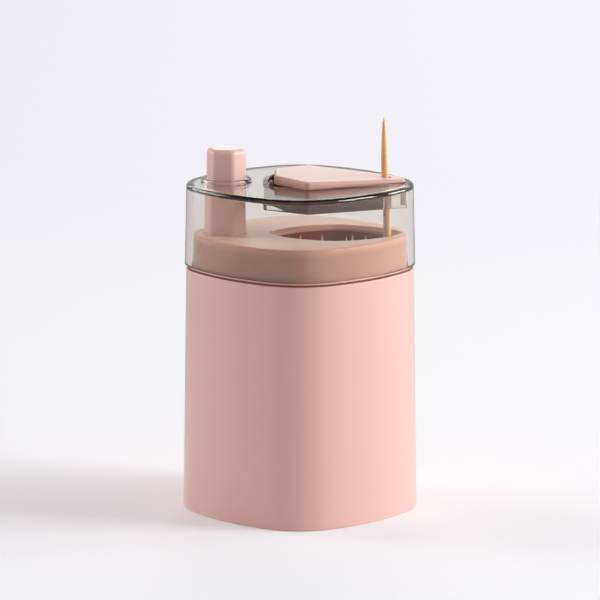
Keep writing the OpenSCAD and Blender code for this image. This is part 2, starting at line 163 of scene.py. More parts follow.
def grown(loop, distance):
    # the loop moved outwards along its own normals
    moved = []
    count = len(loop)
    for i in range(count):
        back = Vector(loop[i]) - Vector(loop[i - 1])
        on = Vector(loop[(i + 1) % count]) - Vector(loop[i])
        if back.length < 1e-6:
            back = on
        if on.length < 1e-6:
            on = back
        normal = Vector((back.y, -back.x)).normalized() + Vector((on.y, -on.x)).normalized()
        normal = normal.normalized()
        reach = distance / max(0.5, normal.dot(Vector((on.y, -on.x)).normalized()))
        moved.append((loop[i][0] + normal.x * reach, loop[i][1] + normal.y * reach))
    return moved


# meshes from rings of points

def linked(name, data):
    thing = bpy.data.objects.new(name, data)
    bpy.context.scene.collection.objects.link(thing)
    return thing


class Skin:
    def __init__(self):
        self.points = []
        self.faces = []

    def loop(self, points):
        first = len(self.points)
        self.points += [(x * mm, y * mm, z * mm) for x, y, z in points]
        return list(range(first, len(self.points)))

    def ring(self, outline, height):
        # height is one number, or a function of the point's place
        return self.loop([(x, y, height(x, y) if callable(height) else height) for x, y in outline])

    def wall(self, *rings):
        for low, high in zip(rings, rings[1:]):
            count = len(low)
            for i in range(count):
                j = (i + 1) % count
                self.faces.append((low[i], low[j], high[j], high[i]))

    def cap(self, outer, *holes):
        # a flat face, with any holes in it
        if not holes:
            self.faces.append(tuple(outer))
            return
        loops = [outer, *holes]
        order = [i for loop in loops for i in loop]
        flat = [[Vector((self.points[i][0], self.points[i][1], 0)) for i in loop] for loop in loops]
        self.faces += [tuple(order[i] for i in three) for three in tessellate_polygon(flat)]

    def closed(self, rings):
        # walls from ring to ring, and a face over each end
        self.wall(*rings)
        self.cap(rings[0])
        self.cap(rings[-1])

    def piece(self, name, sharp=35):
        mesh = bpy.data.meshes.new(name)
        mesh.from_pydata(self.points, [], self.faces)
        work = bmesh.new()
        work.from_mesh(mesh)
        bmesh.ops.remove_doubles(work, verts=work.verts, dist=1e-7)
        bmesh.ops.dissolve_degenerate(work, edges=work.edges, dist=1e-7)
        bmesh.ops.recalc_face_normals(work, faces=work.faces)
        work.to_mesh(mesh)
        work.free()
        mesh.shade_smooth()
        mesh.set_sharp_from_angle(angle=math.radians(sharp))
        return linked(name, mesh)


def joined(name, things):
    # several pieces made one, with each part's own sharp edges
    work = bmesh.new()
    for thing in things:
        work.from_mesh(thing.data)
    mesh = bpy.data.meshes.new(name)
    work.to_mesh(mesh)
    work.free()
    whole = linked(name, mesh)
    for thing in things:
        bpy.data.objects.remove(thing)
    return whole


def fused(whole, things, sharp=32):
    # parts moulded in one piece: no wall is left inside where they meet
    for thing in things:
        cut = whole.modifiers.new("fuse", "BOOLEAN")
        cut.operation = "UNION"
        cut.solver = "EXACT"
        cut.object = thing
    graph = bpy.context.evaluated_depsgraph_get()
    mesh = bpy.data.meshes.new_from_object(whole.evaluated_get(graph))
    whole.modifiers.clear()
    whole.data = mesh
    mesh.shade_smooth()
    mesh.set_sharp_from_angle(angle=math.radians(sharp))
    for thing in things:
        bpy.data.objects.remove(thing)
    return whole


def placed(thing, material, body, slotName, *nodes):
    thing.data.materials.clear()
    thing.data.materials.append(material)
    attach(thing, body)
    if nodes:
        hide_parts(*nodes)
    return thing


# node trees written as expressions

class Wire:
    # an output socket that adds Math nodes when it is used in a sum
    def __init__(self, board, socket):
        self.board = board
        self.socket = socket

    def math(self, operation, first, second):
        return self.board.add("ShaderNodeMath", {"operation": operation}, {0: first, 1: second})

    def __add__(self, other):
        return self.math("ADD", self, other)

    def __radd__(self, other):
        return self.math("ADD", other, self)

    def __sub__(self, other):
        return self.math("SUBTRACT", self, other)

    def __rsub__(self, other):
        return self.math("SUBTRACT", other, self)

    def __mul__(self, other):
        return self.math("MULTIPLY", self, other)

    def __rmul__(self, other):
        return self.math("MULTIPLY", other, self)

    def __truediv__(self, other):
        return self.math("DIVIDE", self, other)

    def out(self, name):
        return Wire(self.board, self.socket.node.outputs[name])


class Board:
    # the tree that nodes are added to
    def __init__(self, tree):
        self.tree = tree

    def add(self, kind, settings=None, values=None, output=0):
        node = self.tree.nodes.new(kind)
        for name, value in (settings or {}).items():
            if name == "stops":
                ramp = node.color_ramp
                while len(ramp.elements) < len(value):
                    ramp.elements.new(1.0)
                for element, (place, colour) in zip(ramp.elements, value):
                    element.position = place
                    element.color = colour
            else:
                setattr(node, name, value)
        for key, value in (values or {}).items():
            self.feed(self.inputNamed(node, key), value)
        if not len(node.outputs):
            return node
        made = [s for s in node.outputs if s.enabled]
        return Wire(self, node.outputs[output] if isinstance(output, str) else made[output])

    def inputNamed(self, node, key):
        if isinstance(key, int):
            return node.inputs[key]
        live = [s for s in node.inputs if s.enabled]
        return [s for s in live if s.identifier == key or s.name == key][0]

    def feed(self, socket, value):
        if isinstance(value, Wire):
            self.tree.links.new(value.socket, socket)
        else:
            socket.default_value = value

    def noise(self, place, scale, detail, roughness=0.5):
        return self.add("ShaderNodeTexNoise", None,
                        {"Vector": place, "Scale": scale, "Detail": detail, "Roughness": roughness})

    def bump(self, strength, distance, height):
        return self.add("ShaderNodeBump", None,
                        {"Strength": strength, "Distance": distance, "Height": height})

    def rise(self, value, low, high):
        # a soft step, from 0 at low to 1 at high
        return self.add("ShaderNodeMapRange", {"interpolation_type": "SMOOTHSTEP"},
                        {"Value": value, "From Min": low, "From Max": high})

    def ramp(self, stops, share):
        return self.add("ShaderNodeValToRGB", {"stops": stops}, {"Fac": share})

    def mixed(self, share, first, second):
        return self.add("ShaderNodeMix", {"data_type": "RGBA"},
                        {"Factor_Float": share, "A_Color": first, "B_Color": second})


def newMaterial(name):
    material = bpy.data.materials.new(name)
    material.use_nodes = True
    material.node_tree.nodes.clear()
    return material, Board(material.node_tree)


def shown(board, surface):
    board.add("ShaderNodeOutputMaterial", None, {"Surface": surface})


def linear(red, green, blue):
    # a colour given as it looks, from 0 to 255, to the values that nodes take
    def one(c):
        c /= 255
        return c / 12.92 if c <= 0.04045 else ((c + 0.055) / 1.055) ** 2.4
    return (one(red), one(green), one(blue), 1.0)


def grey(level):
    return (level, level, level, 1.0)


def scaled(colour, share):
    return tuple(c * share for c in colour[:3]) + (1.0,)


# materials

pinkLook = {"colour": linear(236, 184, 174), "roughness": 0.38, "grain": 0.012, "sheen": 0.55}
# painted shade: the flap's pink is a darker copy of the body's, to take light off its top
flapShadedLook = {"colour": linear(232, 175, 164), "roughness": 0.40, "grain": 0.012, "sheen": 0.34}
deckLook = {
    "colour": linear(206, 150, 129),
    "upper": linear(234, 170, 144),      # painted light: the paler colour at its top
    "upperFrom": 75.6,                   # it changes between these heights
    "upperTo": 78.2,
    "roughness": 0.26,
    "grain": 0.010,
    "sheen": 0.44,
    "sheenTint": (1.0, 0.78, 0.70, 1.0),
}
# painted light: the column's pink is a paler copy of the body's, so that it looks more brightly lit
buttonLitLook = {"colour": linear(243, 191, 182), "roughness": 0.36, "grain": 0.012, "sheen": 0.62}
# painted shade: the dark ring's colour stands for the shadow in the gap under the lid's rim
seamShadeLook = {"colour": linear(140, 80, 68), "roughness": 0.5, "grain": 0.010, "gloss": 0.15}
# painted shade: the liner and the flap's knuckle are pink plastic in shade, given this dark colour
linerShadeLook = {"colour": linear(90, 42, 30), "roughness": 0.46, "grain": 0.010, "gloss": 0.10}
# painted shade: the mouth's tube and the hopper are pink plastic deep in shade, given this dark colour
funnelShadeLook = {"colour": linear(152, 58, 34), "roughness": 0.48, "grain": 0.010, "gloss": 0.15}
# painted light: the catch is made pale for the key lamp's light on the well's tip
catchLightLook = {"colour": linear(242, 206, 180), "roughness": 0.36, "grain": 0.010}
milkyLook = {"colour": linear(232, 228, 216), "roughness": 0.46, "grain": 0.02}
mouldedLook = {              # what all the moulded plastics share; scales count per metre
    "flow": 38.0,
    "flowTone": 0.045,       # how far the flow marks change the colour
    "flowRoughness": 0.10,
    "grain": 4200.0,
    "grainRoughness": 0.06,
    "bump": 6,               # strength of the bump, for each unit of a look's grain
    "bumpDepth": 0.00004,
    "sheenRoughness": 0.45,
    "ior": 1.5,
}
smokeLook = {
    "surface": (1.0, 1.0, 1.0, 1.0),
    "shade": (0.955, 0.955, 0.955, 1.0),   # what one face lets through to a lamp
    "tint": (0.50, 0.40, 0.24, 1.0),       # what the plastic itself lets through, as a hue
    "density": 95.0,                       # how fast it takes the light away, per metre
    "ior": 1.53,
    "handling": 95.0,                      # scale of the fine wear
    "handlingRoughness": 0.035,
}
steelLook = {
    "colour": (0.60, 0.61, 0.63, 1.0),
    "dark": 0.22,            # the darkened pin and the drawn pins, as shares of the colour
    "bright": 1.1,
    "roughness": 0.30,
    "lines": 900.0,
    "linesRoughness": 0.22,
    "drawn": (1.0, 0.04, 1.0),           # draws the lines out along a pin
    "cloud": 260.0,
    "cloudTone": (0.86, 1.08),
    "cloudRoughness": 0.10,
    "bump": 0.12,
    "bumpDepth": 0.00003,
}
birchLook = {
    "pale": linear(255, 219, 164),
    "deep": linear(228, 162, 99),
    "roughness": 0.55,
    "streak": 2300.0,
    "streakEnds": (0.30, 0.62),          # where the streaks are all deep and all pale
    "streakRoughness": 0.2,
    "pore": 6500.0,
    "drawn": (1.0, 1.0, 0.035),          # draws streaks and pores out up the pick
    "blotch": 120.0,
    "blotchShare": 0.35,
    "blotchTone": 0.92,
    "bump": 0.35,
    "bumpDepth": 0.00006,
    "ior": 1.45,
}


def plasticMaterial(name, look):
    # moulded plastic: even colour with faint flow marks, a fine spark-eroded grain
    material, board = newMaterial(name)
    shared = mouldedLook
    place = board.add("ShaderNodeTexCoord", output="Object")
    flow = board.noise(place, shared["flow"], 3.0)
    grain = board.noise(place, shared["grain"], 2.0, 0.6)
    tone = look["colour"]
    if "upper" in look:
        # painted light: the deck is made paler and warmer near its top, for the light that falls on it and
        # soaks into it
        height = board.add("ShaderNodeSeparateXYZ", None, {"Vector": place}, output="Z")
        rise = board.rise(height, look["upperFrom"] * mm, look["upperTo"] * mm)
        tone = board.mixed(rise, look["colour"], look["upper"])
    colour = board.mixed(flow * shared["flowTone"] + (1 - shared["flowTone"] / 2), grey(0.0), tone)
    roughness = (flow - 0.5) * shared["flowRoughness"]
    roughness = roughness + (grain - 0.5) * shared["grainRoughness"] + look["roughness"]
    bump = board.bump(look["grain"] * shared["bump"], shared["bumpDepth"], grain)
    surface = board.add("ShaderNodeBsdfPrincipled", None, {
        "Base Color": colour,
        "Roughness": roughness,
        "IOR": shared["ior"],
        "Normal": bump,
        "Specular IOR Level": look.get("gloss", 0.5),
        "Sheen Weight": look.get("sheen", 0.0),
        "Sheen Roughness": shared["sheenRoughness"],
        "Sheen Tint": look.get("sheenTint", grey(1.0)),
    })
    shown(board, surface)
    return material


def smokyMaterial():
    # polished smoky styrene; lamps reach what is inside through the stand-in for shadow rays
    material, board = newMaterial("smokyClear")
    place = board.add("ShaderNodeTexCoord", output="Object")
    handling = board.noise(place, smokeLook["handling"], 4.0, 0.62)
    roughness = handling * smokeLook["handlingRoughness"]
    glass = board.add("ShaderNodeBsdfPrincipled", None, {
        "Base Color": smokeLook["surface"], "Roughness": roughness, "IOR": smokeLook["ior"],
        "Transmission Weight": 1.0})
    through = board.add("ShaderNodeBsdfTransparent", None, {"Color": smokeLook["shade"]})
    lamps = board.add("ShaderNodeLightPath", output="Is Shadow Ray")
    smoke = board.add("ShaderNodeVolumeAbsorption", None,
                      {"Color": smokeLook["tint"], "Density": smokeLook["density"]})
    board.add("ShaderNodeOutputMaterial", None, {
        "Surface": board.add("ShaderNodeMixShader", None, {0: lamps, 1: glass, 2: through}),
        "Volume": smoke})
    return material


def steelMaterial(name, tint, stretch):
    # drawn or turned steel with a bright zinc coat: fine lines, and faint clouds over them
    material, board = newMaterial(name)
    look = steelLook
    place = board.add("ShaderNodeTexCoord", output="Object")
    turned = board.add("ShaderNodeMapping", None, {"Vector": place, "Scale": stretch})
    lines = board.noise(turned, look["lines"], 5.0, 0.65)
    cloud = board.noise(place, look["cloud"], 2.0)
    darker, brighter = look["cloudTone"]
    colour = board.mixed(cloud, scaled(tint, darker), scaled(tint, brighter))
    roughness = look["roughness"] + (lines - 0.5) * look["linesRoughness"]
    roughness = roughness + (cloud - 0.5) * look["cloudRoughness"]
    bump = board.bump(look["bump"], look["bumpDepth"], lines)
    surface = board.add("ShaderNodeBsdfPrincipled", None,
                        {"Base Color": colour, "Metallic": 1.0, "Roughness": roughness, "Normal": bump})
    shown(board, surface)
    return material


def birchMaterial():
    # turned birch: long pores and streaks up the pick, and larger darker blotches
    material, board = newMaterial("birch")
    look = birchLook
    place = board.add("ShaderNodeTexCoord", output="Object")
    drawn = board.add("ShaderNodeMapping", None, {"Vector": place, "Scale": look["drawn"]})
    streak = board.noise(drawn, look["streak"], 4.0, 0.6)
    pore = board.noise(drawn, look["pore"], 2.0)
    blotch = board.noise(place, look["blotch"], 2.0)
    deepEnd, paleEnd = look["streakEnds"]
    tone = board.ramp([(deepEnd, look["deep"]), (paleEnd, look["pale"])], streak)
    colour = board.mixed(blotch * look["blotchShare"], tone, scaled(look["deep"], look["blotchTone"]))
    bump = board.bump(look["bump"], look["bumpDepth"], pore * 0.5 + streak * 0.5)
    surface = board.add("ShaderNodeBsdfPrincipled", None, {
        "Base Color": colour, "Roughness": look["roughness"] + (streak - 0.5) * look["streakRoughness"],
        "IOR": look["ior"], "Normal": bump})
    shown(board, surface)
    return material


pinkPlastic = plasticMaterial("pinkPlastic", pinkLook)
buttonLitPlastic = plasticMaterial("buttonLitPlastic", buttonLitLook)
flapShadedPlastic = plasticMaterial("flapShadedPlastic", flapShadedLook)
deckPlastic = plasticMaterial("deckPlastic", deckLook)
linerShadePlastic = plasticMaterial("linerShadePlastic", linerShadeLook)
funnelShadePlastic = plasticMaterial("funnelShadePlastic", funnelShadeLook)
catchLightPlastic = plasticMaterial("catchLightPlastic", catchLightLook)
seamShadePlastic = plasticMaterial("seamShadePlastic", seamShadeLook)
milkyPlastic = plasticMaterial("milkyAcetal", milkyLook)
smokyClear = smokyMaterial()
screwSteel = steelMaterial("zincSteel", steelLook["colour"], (1.0, 1.0, 1.0))
darkSteel = steelMaterial("darkSteel", scaled(steelLook["colour"], steelLook["dark"]), steelLook["drawn"])
drawnSteel = steelMaterial("drawnSteel", scaled(steelLook["colour"], steelLook["bright"]), steelLook["drawn"])
birch = birchMaterial()
print("materials made")


# the body

def outerBody():
    wall = bodyShape["wall"]
    height = bodyShape["height"]
    profile = roundedPath([
        (wall, 0, 0.0), (0, 0, bodyShape["footRound"]),
        (0, height, bodyShape["rimRound"]), (wall, height, bodyShape["rimInside"])],
        steps=5, hold=0.12)
    skin = Skin()
    rings = [skin.ring(bodyOutline(bodyReachAt(z), inset), z) for inset, z in profile]
    skin.wall(*rings, rings[0])
    return skin.piece("outerBody")


bodyBosses = {
    "at": 17.2,              # X and Y of each boss, either side of the middle
    "radius": 2.6,
    "bore": 1.28,
    "low": 2.5,
    "top": 14.0,
    "boreTop": 13.0,
    "ribHalf": 0.8,
    "ribStart": 1.5,         # beyond the boss's middle
    "ribEnd": 28.4,          # from the middle of the body
    "sides": 32,
}


def screwBosses():
    # the four bosses that the base screws bite into, each with a rib to the wall
    skin = Skin()
    b = bodyBosses
    for x in (-b["at"], b["at"]):
        for y in (-b["at"], b["at"]):
            wide = circle(b["radius"], x, y, b["sides"])
            narrow = circle(b["bore"], x, y, b["sides"])
            outside = [skin.ring(wide, z) for z in (b["low"], b["top"])]
            inside = [skin.ring(narrow, z) for z in (b["low"], b["boreTop"])]
            skin.wall(*outside)
            skin.wall(*inside)
            skin.wall(outside[0], inside[0])
            skin.cap(outside[1])
            skin.cap(inside[1])
            away = Vector((x, y)).normalized()
            side = Vector((-away.y, away.x)) * b["ribHalf"]
            start = away * (b["at"] * math.sqrt(2) + b["ribStart"])
            end = away * b["ribEnd"]
            rib = [tuple(start - side), tuple(end - side), tuple(end + side), tuple(start + side)]
            skin.closed([skin.ring(rib, z) for z in (b["low"], b["boreTop"])])
    return skin.piece("bosses")


body = joined("outerBody", [outerBody(), screwBosses()])
placed(body, pinkPlastic, "body", "pink_plastic", "outer_body")
print("body made")


# the smoky lid

lidShape = {
    "rim": 69.32,
    "top": 92.45,
    "rimReach": 32.25,
    "topReach": 31.75,       # as wide as this where the top edge starts to round
    "edgeStart": 1.2,        # that far under the top
    "wall": 1.8,
    "plate": 1.4,
    "edgeRound": 1.1,
    "innerRound": 0.5,
    "rimRounds": (0.2, 0.25),            # the rim's inner and outer edge
    "holeRadius": 6.0,
    "holeRound": 0.5,
    "ringRadius": 7.05,
    "ringRound": 0.52,
    "ringHeight": 1.25,
    "ringFoot": 0.2,
    "wellBottom": 85.7,
    "wellInside": [(-9, 6), (2, 12.9), (29.3, 2)],
    "wellOutside": [(-10, 7), (2, 14.9), (29.85, 3.0)],
    "wellRounds": (1.0, 1.5),            # its corners inside and outside
    "wellEdges": (0.25, 0.3),            # where it meets the top face and the underside
    "lip": 0.4,              # height of the well's rounded lower lip
    "lipCurve": [(0.08, 0.1), (0.25, 0)],        # its inset and height, going down
}


def lidReachAt(z):
    s = lidShape
    share = (z - s["rim"]) / (s["top"] - s["edgeStart"] - s["rim"])
    return s["rimReach"] + (s["topReach"] - s["rimReach"]) * share


def lidShell():
    s = lidShape
    skin = Skin()
    under = s["top"] - s["plate"]
    wall = s["wall"]

    # the outer wall: from the underside of the plate, round the rim and up to the top face
    innerRim, outerRim = s["rimRounds"]
    profile = roundedPath([
        (wall + s["innerRound"] + 0.3, under, 0.0), (wall, under, s["innerRound"]),
        (wall, s["rim"], innerRim), (0, s["rim"], outerRim), (0, s["top"], s["edgeRound"]),
        (s["edgeRound"] + 0.25, s["top"], 0.0)], steps=7, closed=False, hold=0.08)
    outside = [skin.ring(bodyOutline(lidReachAt(z), inset), z) for inset, z in profile]
    skin.wall(*outside)

    # the raised ring round the column's hole, and the hole
    radius = s["ringRadius"]
    hole = s["holeRadius"]
    high = s["top"] + s["ringHeight"]
    foot = s["ringFoot"]
    profile = roundedPath([
        (radius + 0.5, s["top"], 0.0), (radius, s["top"], foot), (radius, high, s["ringRound"]),
        (hole, high, s["holeRound"]), (hole, under, foot), (hole + 0.5, under, 0.0)],
        steps=6, closed=False, hold=0.05)
    ringWall = [skin.ring(circle(r, columnX), z) for r, z in profile]
    skin.wall(*ringWall)

    # the well under the flap: down its inside, round the lip and up its outside
    inner = mirroredLoop(s["wellInside"], s["wellRounds"][0])
    outer = mirroredLoop(s["wellOutside"], s["wellRounds"][1])
    low = s["wellBottom"]
    edgeIn, edgeOut = s["wellEdges"]
    down = roundedPath([(0.45, s["top"], 0.0), (0, s["top"], edgeIn), (0, low + s["lip"], 0.0)],
                       steps=5, closed=False, hold=0.05)
    up = roundedPath([(0, low + s["lip"], 0.0), (0, under, edgeOut), (0.55, under, 0.0)],
                     steps=4, closed=False, hold=0.05)
    well = [skin.ring(grown(inner, d), z) for d, z in down]
    well += [skin.ring(grown(inner, d), low + rise) for d, rise in s["lipCurve"]]
    well += [skin.ring(grown(outer, -d), low + rise) for d, rise in reversed(s["lipCurve"])]
    well += [skin.ring(grown(outer, d), z) for d, z in up]
    skin.wall(*well)

    skin.cap(outside[-1], ringWall[0], well[0])
    skin.cap(outside[0], ringWall[-1], well[-1])
    return skin.piece("lidShell", 32)


hingeShape = {
    "x": -7.9,               # the hinge's axis
    "z": 92.9,
    "earIn": 4.7,
    "earOut": 5.9,
    "earLeft": -9.7,
    "earRight": -7.35,
    "earRoot": 91.3,
    "earTop": 93.3,
    "earRounds": (0.15, 0.3, 0.5),       # at its root, its top right corner and its left side
    "knuckle": 1.3,          # half its width
    "knuckleLeft": -8.65,
    "knuckleRight": -7.1,
    "knuckleUnder": (0.75, 0.6),         # below the axis, on its left and on its right
    "knuckleTop": 94.5,
    "knuckleStep": 93.95,
    "knuckleRounds": (0.7, 0.5),         # its lower and its upper left corner
}


def sideProfile(name, corners, y0, y1, edge=0.12):
    # a shape seen from the side, given its width along Y, with slightly broken edges
    loop = roundedPath(corners, steps=8)
    skin = Skin()
    rings = []
    for y, inset in ((y0, edge), (y0 + edge, 0), (y1 - edge, 0), (y1, edge)):
        rings.append(skin.loop([(x, y, z) for x, z in grown(loop, -inset)]))
    skin.closed(rings)
    return skin.piece(name)


def hingeEars():
    h = hingeShape
    root, right, left = h["earRounds"]
    corners = [
        (h["earLeft"], h["earRoot"], root), (h["earRight"], h["earRoot"], root),
        (h["earRight"], h["earTop"], right), (h["x"] - 0.3, h["earTop"], left),
        (h["earLeft"], h["z"] + 0.05, left)]
    near, far = h["earIn"], h["earOut"]
    return [sideProfile("ear", corners, y0, y1) for y0, y1 in ((-far, -near), (near, far))]


lid = fused(lidShell(), hingeEars())
placed(lid, smokyClear, "lid", "smoky_clear", "lid")


linerShape = {
    "end": 22.6,
    "low": 85.95,
    "top": 90.9,
    "gap": 0.12,
    "thick": 0.7,
    "cornerRound": 1.0,
    "riseX": -3.7,           # left of this the lower edge climbs
    "rise": 0.29,
}
catchShape = {
    "x": (27.2, 29.15),
    "half": 1.75,
    "z": (86.4, 90.9),
    "cornerRound": 0.3,
    "edge": 0.25,
    "edgeCurve": [(1, 0), (0.28, 0.28), (0, 1)],         # inset and height of its lower edge, in edges
    "topBevel": 0.4,         # in edges too
}


def wellLiner():
    # a band inside the well's wall, open towards the tip where the raised pick stands; its dark colour is
    # painted shade
    s = linerShape
    (x0, y0), (x1, y1) = lidShape["wellInside"][1:]
    endY = y0 + (y1 - y0) * (s["end"] - x0) / (x1 - x0)
    left, leftHalf = lidShape["wellInside"][0]
    riseY = leftHalf + (y0 - leftHalf) * (s["riseX"] - left) / (x0 - left)
    r = s["cornerRound"]
    corners = [(s["end"], endY, 0), (x0, y0, r), (s["riseX"], riseY, 0), (left, leftHalf, r),
               (left, -leftHalf, r), (s["riseX"], -riseY, 0), (x0, -y0, r), (s["end"], -endY, 0)]
    path = roundedPath(corners, steps=8, closed=False)
    count = len(path)
    aside = []
    for i in range(count):
        along = (Vector(path[min(count - 1, i + 1)]) - Vector(path[max(0, i - 1)])).normalized()
        aside.append(Vector((-along.y, along.x)))
    outer = [(p[0] + n.x * s["gap"], p[1] + n.y * s["gap"]) for p, n in zip(path, aside)]
    deep = s["gap"] + s["thick"]
    inner = [(p[0] + n.x * deep, p[1] + n.y * deep) for p, n in zip(path, aside)]

    def lowEdge(x, y):
        return s["low"] + s["rise"] * max(0, s["riseX"] - x)

    skin = Skin()
    rings = [skin.ring(outer + inner[::-1], z) for z in (lowEdge, s["top"])]
    skin.wall(*rings)
    for ring in rings:
        for i in range(count - 1):
            j = 2 * count - 1 - i
            skin.faces.append((ring[i], ring[i + 1], ring[j - 1], ring[j]))
    return skin.piece("wellLiner", 32)


def flapCatch():
    # the small catch at the tip of the well; its pale colour is painted light
    s = catchShape
    half = s["half"]
    left, right = s["x"]
    r = s["cornerRound"]
    loop = roundedPath([(left, -half, r), (right, -half, r), (right, half, r), (left, half, r)], steps=5)
    low, high = s["z"]
    edge = s["edge"]
    bevel = s["topBevel"] * edge
    skin = Skin()
    rings = [skin.ring(grown(loop, -inset * edge), low + rise * edge) for inset, rise in s["edgeCurve"]]
    rings += [skin.ring(loop, high - bevel), skin.ring(grown(loop, -bevel), high)]
    skin.closed(rings)
    return skin.piece("flapCatch", 32)


placed(wellLiner(), linerShadePlastic, "lid", "deck_plastic")
placed(flapCatch(), catchLightPlastic, "lid", "deck_plastic")
print("lid made")


# the deck with its mouth

deckShape = {
    "top": 78.2,
    "reach": 29.3,           # at slopeTop, and wider further down
    "slope": 0.3,
    "slopeTop": 77.2,
    "slopeHeight": 8.7,
    "plate": 1.6,
    "wall": 1.6,
    "edgeRound": 0.6,
    "skirt": 62.0,           # the skirt goes this far down inside the body
    "skirtGap": 0.2,
    "skirtLean": 0.46,
    "flangeTop": 68.6,
    "flangeReach": 30.6,
    "seamReach": 31.58,
    "seam": (68.32, 68.88),              # heights of the dark ring, which is painted shade, and of the pink one on it
    "collarReach": 31.46,
    "collar": (68.88, 69.26),
    "mouthX": 9.68,
    "mouthLength": 18.12,
    "mouthWidth": 13.2,
    "mouthRoll": [           # its rolled edge from the outside in: longer, wider, lower
        (0.45, 0.45, 0.0), (0.38, 0.38, 0.0), (0.22, 0.22, 0.03), (0.08, 0.08, 0.11), (-0.03, -0.02, 0.24)],
    "bevel": 1.2,            # height of the sloping rim
    "rimIn": (1.6, 1.0),     # how much the rim narrows the mouth, along X and Y
    "rimLean": 0.30,         # how much further left its lower edge lies
    "rimFoot": [             # its rounded foot: share of the lean, longer, wider, higher
        (0.9, 0.16, 0.12, 0.38), (1, 0.04, 0.03, 0.2), (1, 0, 0, 0)],
    "mouthSides": 128,
    "columnHole": 6.32,
    "columnRound": 1.8,
    "tubeLow": 72.0,
}


def deckReachAt(z):
    s = deckShape
    return s["reach"] + s["slope"] * (s["slopeTop"] - z) / s["slopeHeight"]


def deckBlock():
    s = deckShape
    skin = Skin()
    top = s["top"]
    under = top - s["plate"]
    flange = s["reach"] + s["slope"] - s["flangeReach"]
    skirt = s["skirt"]
    skirtReach = bodyReachAt(skirt) - s["skirtGap"] - bodyShape["wall"]
    skirtOut = s["reach"] + s["skirtLean"] - skirtReach
    seat = bodyShape["height"]
    profile = roundedPath([
        (s["wall"] + 1.0, under, 0.0), (s["wall"], under, 0.4), (s["wall"], skirt, 0.0),
        (skirtOut, skirt, 0.0), (skirtOut, seat, 0.0), (flange, seat, 0.1),
        (flange, s["flangeTop"], 0.12), (0, s["flangeTop"], 0.15), (0, top, s["edgeRound"]),
        (s["edgeRound"] + 0.3, top, 0.0)], steps=6, closed=False, hold=0.06)
    outside = [skin.ring(bodyOutline(deckReachAt(z), inset), z) for inset, z in profile]
    skin.wall(*outside)

    # the mouth: a rolled edge, a sloping rim and a straight wall under it
    length = s["mouthLength"]
    width = s["mouthWidth"]
    x = s["mouthX"]
    lengthIn = length - s["rimIn"][0]
    widthIn = width - s["rimIn"][1]
    lean = s["rimLean"]
    foot = top - s["bevel"]
    edge = 0.1
    levels = [(x, length + longer, width + wider, top - lower) for longer, wider, lower in s["mouthRoll"]]
    for share, longer, wider, higher in s["rimFoot"]:
        levels.append((x - share * lean, lengthIn + longer, widthIn + wider, foot + higher))
    levels.append((x - lean, lengthIn, widthIn, under + edge))
    levels.append((x - lean, lengthIn + edge, widthIn + edge, under))
    mouth = [skin.ring(rhombus(middle, a, b, s["mouthSides"]), z) for middle, a, b, z in levels]
    skin.wall(*mouth)

    # the hole that the press column runs in
    profile = roundedPath([(0.4, top, 0.0), (0, top, 0.2), (0, under, 0.0)],
                          steps=4, closed=False, hold=0.05)
    around = hexagon(s["columnHole"], columnX, s["columnRound"], columnTurn)
    hole = [skin.ring(grown(around, d), z) for d, z in profile]
    skin.wall(*hole)

    skin.cap(outside[-1], hole[0], mouth[0])
    skin.cap(outside[0], hole[-1], mouth[-1])
    return skin.piece("deckBlock", 32)


def mouthTube():
    # the tube that leads from the mouth's rim down to the hopper; its dark colour is painted shade
    s = deckShape
    x = s["mouthX"] - s["rimLean"]
    length = s["mouthLength"]
    width = s["mouthWidth"]
    lengthIn, widthIn = s["rimIn"]
    gap = 0.02               # keeps its faces off the deck's
    high = s["top"] - s["plate"] - gap
    inner = rhombus(x, length - lengthIn - gap, width - widthIn - gap, s["mouthSides"])
    outer = rhombus(x, length - 0.1, width + 0.5, s["mouthSides"])
    skin = Skin()
    rings = [skin.ring(inner, high), skin.ring(inner, s["tubeLow"]),
             skin.ring(outer, s["tubeLow"]), skin.ring(outer, high)]
    skin.wall(*rings, rings[0])
    return skin.piece("mouthTube", 32)


def ringBand(name, reach, heights):
    # a flat ring in the gap between the body and the lid's rim
    inside = deckShape["flangeReach"] - 0.1
    low, high = heights
    edge = 0.12
    skin = Skin()
    section = [(inside, low), (reach, low), (reach, high - edge), (reach - edge, high), (inside, high)]
    rings = [skin.ring(bodyOutline(across), z) for across, z in section]
    skin.wall(*rings, rings[0])
    return skin.piece(name, 32)


deck = deckBlock()
placed(deck, deckPlastic, "body", "deck_plastic", "deck")
placed(mouthTube(), funnelShadePlastic, "body", "deck_plastic")
# painted shade: a dark ring in the gap under the lid's rim, where there is only shadow
seamShadeRing = ringBand("seamShadeRing", deckShape["seamReach"], deckShape["seam"])
collarRing = ringBand("collarRing", deckShape["collarReach"], deckShape["collar"])
placed(seamShadeRing, seamShadePlastic, "body", "deck_plastic")
placed(collarRing, pinkPlastic, "body", "pink_plastic")
print("deck made")


# the press column

columnShape = {
    "footReach": 6.2,
    "topReach": 5.7,
    "foot": 66.8,
    "top": 102.15,
    "cornerRound": 1.8,
    "topRounder": 0.9,       # the corners get rounder over the top edge, by this much of its inset
    "edge": 1.4,
    "bevel": 0.3,            # of the foot and the collar
    "collarReach": 7.1,
    "collar": (73.4, 75.9),
    "bore": 2.53,
    "boreTop": 75.2,
    "boreSides": 40,
}


